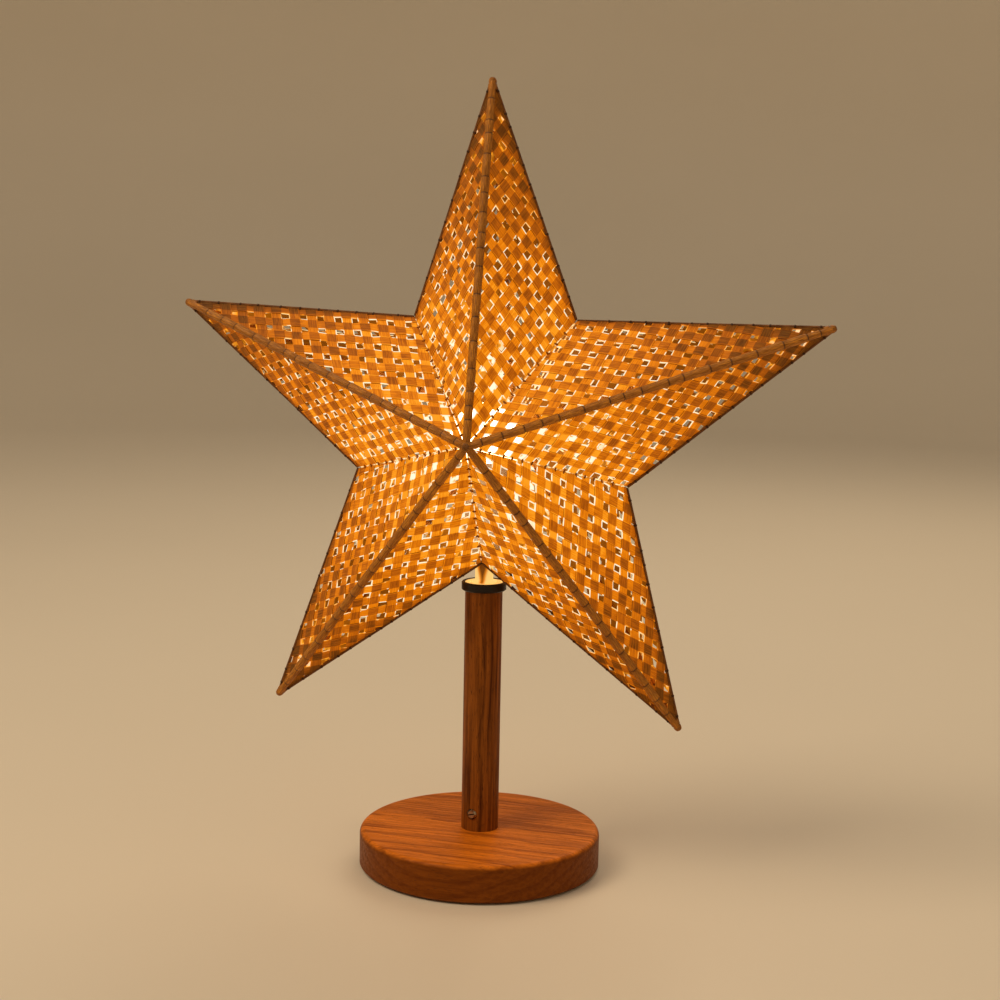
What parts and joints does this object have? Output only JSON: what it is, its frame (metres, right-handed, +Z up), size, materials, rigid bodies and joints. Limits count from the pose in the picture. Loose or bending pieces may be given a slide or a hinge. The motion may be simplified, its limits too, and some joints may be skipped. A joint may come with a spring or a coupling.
{
  "type": "star table lamp",
  "caption": "Table lamp with a hollow star shade of woven flat strips on cane ribs, on a round wooden stem and disc base, with a screw-cap bulb inside.",
  "frame": {"origin": "on the stem's axis, at the surface the felt pad rests on", "axes": "+Z up the stem towards the star's top point; the star faces -Y; +X is to the right as the star's face is seen"},
  "size_m": [0.4004, 0.1524, 0.4837],
  "materials": {
    "woven_strip": "flat plaited strips of natural paper fibre, warm and lit from inside",
    "cane": "split cane binding, satin",
    "dark_binding": "thin cane rod bound with dark thread",
    "base_wood": "light oiled hardwood, satin",
    "stem_wood": "brown oiled hardwood, satin",
    "felt": "pressed felt",
    "rubber": "matt",
    "zinc_steel": "zinc plated",
    "nickel": "nickel plated",
    "black_metal": "black, satin",
    "brass": "plain brass",
    "cream_plastic": "cream, satin",
    "white_plastic": "white, satin",
    "ceramic": "unglazed",
    "opal_glass": "opal, lit",
    "light_board": "white coated board with light chips"
  },
  "bodies": {
    "stand": {"felt_pad": "felt", "base_disc": "base_wood", "cord_bush": "rubber", "threaded_tube": "zinc_steel", "base_washer": "zinc_steel", "base_nut": "zinc_steel", "stem": "stem_wood", "stem_screw": "nickel", "screw_cup": "nickel", "ferrule": "black_metal", "stem_disc": "cream_plastic", "brass_spacer": "brass", "holder_cap": "white_plastic", "holder_barrel": "white_plastic", "holder_insert": "ceramic", "screw_shell": "brass", "centre_contact": "brass"},
    "shade": {"shade_bridge": "zinc_steel", "tip_bindings": "cane", "hub_knots": "cane", "rim_rods_top": "dark_binding", "rim_rods_right": "dark_binding", "rim_rods_low_right": "dark_binding", "rim_rods_low_left": "dark_binding", "rim_rods_left": "dark_binding", "front_rib_top": "cane", "front_rib_right": "cane", "front_rib_low_right": "cane", "front_rib_low_left": "cane", "front_rib_left": "cane", "back_rib_top": "cane", "back_rib_right": "cane", "back_rib_low_right": "cane", "back_rib_low_left": "cane", "back_rib_left": "cane", "front_panel_top_cw": "woven_strip", "front_panel_top_ccw": "woven_strip", "front_panel_right_cw": "woven_strip", "front_panel_right_ccw": "woven_strip", "front_panel_low_right_cw": "woven_strip", "front_panel_low_right_ccw": "woven_strip", "front_panel_low_left_cw": "woven_strip", "front_panel_low_left_ccw": "woven_strip", "front_panel_left_cw": "woven_strip", "front_panel_left_ccw": "woven_strip", "back_panel_top_cw": "woven_strip", "back_panel_top_ccw": "woven_strip", "back_panel_right_cw": "woven_strip", "back_panel_right_ccw": "woven_strip", "back_panel_low_right_cw": "woven_strip", "back_panel_low_right_ccw": "woven_strip", "back_panel_low_left_cw": "woven_strip", "back_panel_low_left_ccw": "woven_strip", "back_panel_left_cw": "woven_strip", "back_panel_left_ccw": "woven_strip"},
    "bulb": {"bulb_cap": "nickel", "bulb_housing": "white_plastic", "bulb_globe": "opal_glass", "light_board": "light_board"}
  },
  "joints": [
    {"name": "shade_turn", "type": "hinge", "parent": "stand", "child": "shade", "pos_m": [0, 0, 0.1947], "axis": [0, 0, 1], "continuous": true},
    {"name": "bulb_turn", "type": "hinge", "parent": "stand", "child": "bulb", "pos_m": [0, 0, 0.2315], "axis": [0, 0, 1], "range_deg": [0, 1620]}
  ]
}
